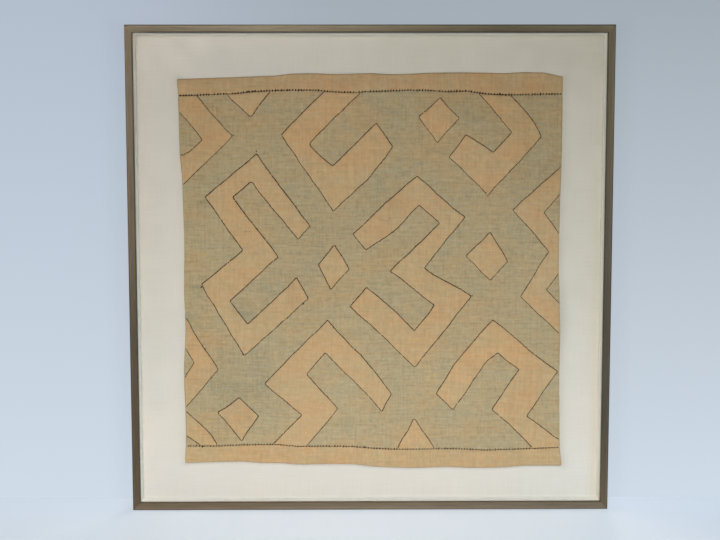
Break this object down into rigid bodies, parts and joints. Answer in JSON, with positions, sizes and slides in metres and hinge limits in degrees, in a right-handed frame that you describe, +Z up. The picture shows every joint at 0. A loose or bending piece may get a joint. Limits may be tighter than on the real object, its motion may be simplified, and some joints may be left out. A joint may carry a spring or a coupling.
{
  "type": "kuba raffia cloth in a picture frame",
  "caption": "Nearly square slim wooden frame that stands on its bottom rail and holds a raffia cloth of sewn-on hooks, chevrons and diamonds on a pale linen mount.",
  "frame": {"origin": "on the surface that the frame stands on, under the middle of its width and of its depth", "axes": "+Z up; the cloth faces -Y; +X is to the right of someone who looks at the cloth"},
  "size_m": [0.864, 0.045, 0.87],
  "materials": {
    "frame_wood": "bronze-brown wax, satin",
    "linen": "plain woven linen, matt",
    "mount_board": "bare board, matt",
    "raffia_ground": "olive-grey raffia with darker streaks, matt",
    "raffia_tan": "light tan raffia, matt",
    "thread": "dark brown raffia stitching, matt"
  },
  "bodies": {
    "root": {"rail_bottom": "frame_wood", "rail_right": "frame_wood", "rail_top": "frame_wood", "rail_left": "frame_wood", "spacer_bottom": "linen", "spacer_right": "linen", "spacer_top": "linen", "spacer_left": "linen", "linen_cover": "linen", "mount_board": "mount_board", "ground_cloth": "raffia_ground", "border_top": "raffia_tan", "border_bottom": "raffia_tan", "patch_top_left_chevron": "raffia_tan", "patch_top_triangle": "raffia_tan", "patch_top_hook": "raffia_tan", "patch_top_diamond": "raffia_tan", "patch_top_right_hook": "raffia_tan", "patch_left_double_hook": "raffia_tan", "patch_centre_diamond": "raffia_tan", "patch_right_double_hook": "raffia_tan", "patch_right_edge_hook": "raffia_tan", "patch_right_diamond": "raffia_tan", "patch_left_chevron": "raffia_tan", "patch_left_corner_arm": "raffia_tan", "patch_lower_left_diamond": "raffia_tan", "patch_bottom_hook": "raffia_tan", "patch_bottom_triangle": "raffia_tan", "patch_bottom_right_hook": "raffia_tan"}
  },
  "joints": []
}
